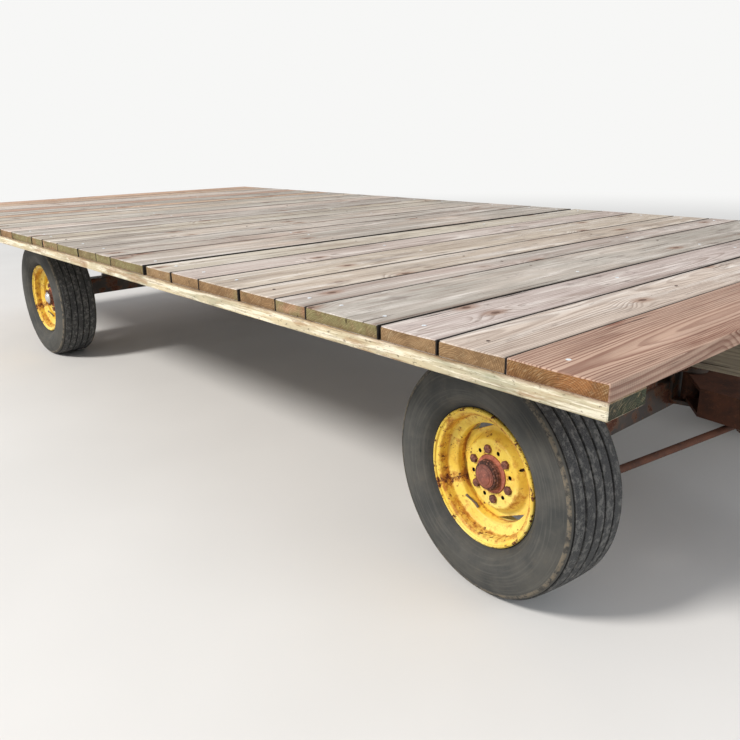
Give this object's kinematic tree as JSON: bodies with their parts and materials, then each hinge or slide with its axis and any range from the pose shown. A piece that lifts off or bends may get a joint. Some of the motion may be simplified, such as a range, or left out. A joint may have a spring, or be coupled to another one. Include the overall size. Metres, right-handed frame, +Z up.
{
  "type": "hay wagon",
  "caption": "Flat-deck farm hay wagon: plank deck on timber sills over a four-wheel running gear with tongue-driven knuckle steering.",
  "frame": {"origin": "on the ground under the middle of the overall box", "axes": "+X forward to the tongue, +Y to the wagon's left, +Z up"},
  "size_m": [7.1838, 2.743, 0.878],
  "materials": {
    "plank_weathered": "weathered grey-tan boards with raised grain",
    "plank_fresh": "newer reddish-brown boards with strong grain",
    "rail_wood": "pale treated timber, rough-sawn ends",
    "sill_wood": "dull weathered timber in the shade",
    "gear_paint": "worn dark paint with rust",
    "rusty_steel": "rusted steel, paint gone",
    "bare_steel": "greasy worn steel",
    "rim_paint": "chipped yellow paint with rust",
    "hub_iron": "rusted cast iron",
    "cap_steel": "pressed steel, dulled and rusty",
    "tyre_rubber": "dusty worn rubber"
  },
  "bodies": {
    "root": {"deck_planks_weathered": "plank_weathered", "deck_planks_fresh": "plank_fresh", "edge_rail_left": "rail_wood", "edge_rail_right": "rail_wood", "sill_left": "sill_wood", "sill_right": "sill_wood", "front_bolster": "gear_paint", "rear_bolster": "gear_paint", "front_bolster_posts": "gear_paint", "rear_bolster_posts": "gear_paint", "bolster_stakes": "gear_paint", "front_axle": "gear_paint", "rear_axle": "gear_paint", "reach_front": "gear_paint", "reach_rear": "gear_paint", "front_hounds": "gear_paint", "rear_hounds": "gear_paint", "kingpins": "bare_steel", "steering_mount": "gear_paint", "steering_pin": "bare_steel"},
    "steering_head": {"steering_head": "rusty_steel", "tongue_hinge_pin": "bare_steel"},
    "tongue": {"tongue_yoke": "gear_paint", "tongue_tube": "gear_paint", "hitch_clevis": "gear_paint"},
    "knuckle_left": {"knuckle_left": "gear_paint"},
    "tie_rod_left": {"tie_rod_left": "rusty_steel"},
    "wheel_front_left": {"tyre_front_left": "tyre_rubber", "rim_front_left": "rim_paint", "hub_front_left": "hub_iron", "grease_cap_front_left": "cap_steel"},
    "wheel_rear_left": {"tyre_rear_left": "tyre_rubber", "rim_rear_left": "rim_paint", "hub_rear_left": "hub_iron", "grease_cap_rear_left": "cap_steel"},
    "knuckle_right": {"knuckle_right": "gear_paint"},
    "tie_rod_right": {"tie_rod_right": "rusty_steel"},
    "wheel_front_right": {"tyre_front_right": "tyre_rubber", "rim_front_right": "rim_paint", "hub_front_right": "hub_iron", "grease_cap_front_right": "cap_steel"},
    "wheel_rear_right": {"tyre_rear_right": "tyre_rubber", "rim_rear_right": "rim_paint", "hub_rear_right": "hub_iron", "grease_cap_rear_right": "cap_steel"}
  },
  "joints": [
    {"name": "steering", "type": "hinge", "parent": "root", "child": "steering_head", "pos_m": [1.44905, 0, 0.441], "axis": [0, 0, 1], "range_deg": [-25, 39]},
    {"name": "tongue_lift", "type": "hinge", "parent": "steering_head", "child": "tongue", "pos_m": [1.75674, -0.03778, 0.441], "axis": [-0.1219, -0.9925, 0], "range_deg": [0, 47.21]},
    {"name": "knuckle_swing_left", "type": "hinge", "parent": "root", "child": "knuckle_left", "pos_m": [1.34105, 0.7315, 0.4], "axis": [0, 0, 1], "range_deg": [-25, 39]},
    {"name": "tie_rod_swing_left", "type": "hinge", "parent": "steering_head", "child": "tie_rod_left", "pos_m": [1.65855, -0.00054, 0.366], "axis": [0, 0, 1], "range_deg": [-39, 25]},
    {"name": "wheel_spin_front_left", "type": "hinge", "parent": "knuckle_left", "child": "wheel_front_left", "pos_m": [1.36506, 0.92703, 0.362], "axis": [0.1219, 0.9925, 0], "continuous": true},
    {"name": "wheel_spin_rear_left", "type": "hinge", "parent": "root", "child": "wheel_rear_left", "pos_m": [-2.26895, 0.9285, 0.362], "axis": [0, 1, 0], "continuous": true},
    {"name": "knuckle_swing_right", "type": "hinge", "parent": "root", "child": "knuckle_right", "pos_m": [1.34105, -0.7315, 0.4], "axis": [0, 0, 1], "range_deg": [-25, 39]},
    {"name": "tie_rod_swing_right", "type": "hinge", "parent": "steering_head", "child": "tie_rod_right", "pos_m": [1.65246, -0.05016, 0.366], "axis": [0, 0, 1], "range_deg": [-39, 25]},
    {"name": "wheel_spin_front_right", "type": "hinge", "parent": "knuckle_right", "child": "wheel_front_right", "pos_m": [1.31704, -0.92703, 0.362], "axis": [0.1219, 0.9925, 0], "continuous": true},
    {"name": "wheel_spin_rear_right", "type": "hinge", "parent": "root", "child": "wheel_rear_right", "pos_m": [-2.26895, -0.9285, 0.362], "axis": [0, 1, 0], "continuous": true}
  ],
  "couplings": [
    {"joint": "knuckle_swing_left", "follows": "steering", "ratio": 1},
    {"joint": "tie_rod_swing_left", "follows": "steering", "ratio": -1},
    {"joint": "knuckle_swing_right", "follows": "steering", "ratio": 1},
    {"joint": "tie_rod_swing_right", "follows": "steering", "ratio": -1}
  ]
}
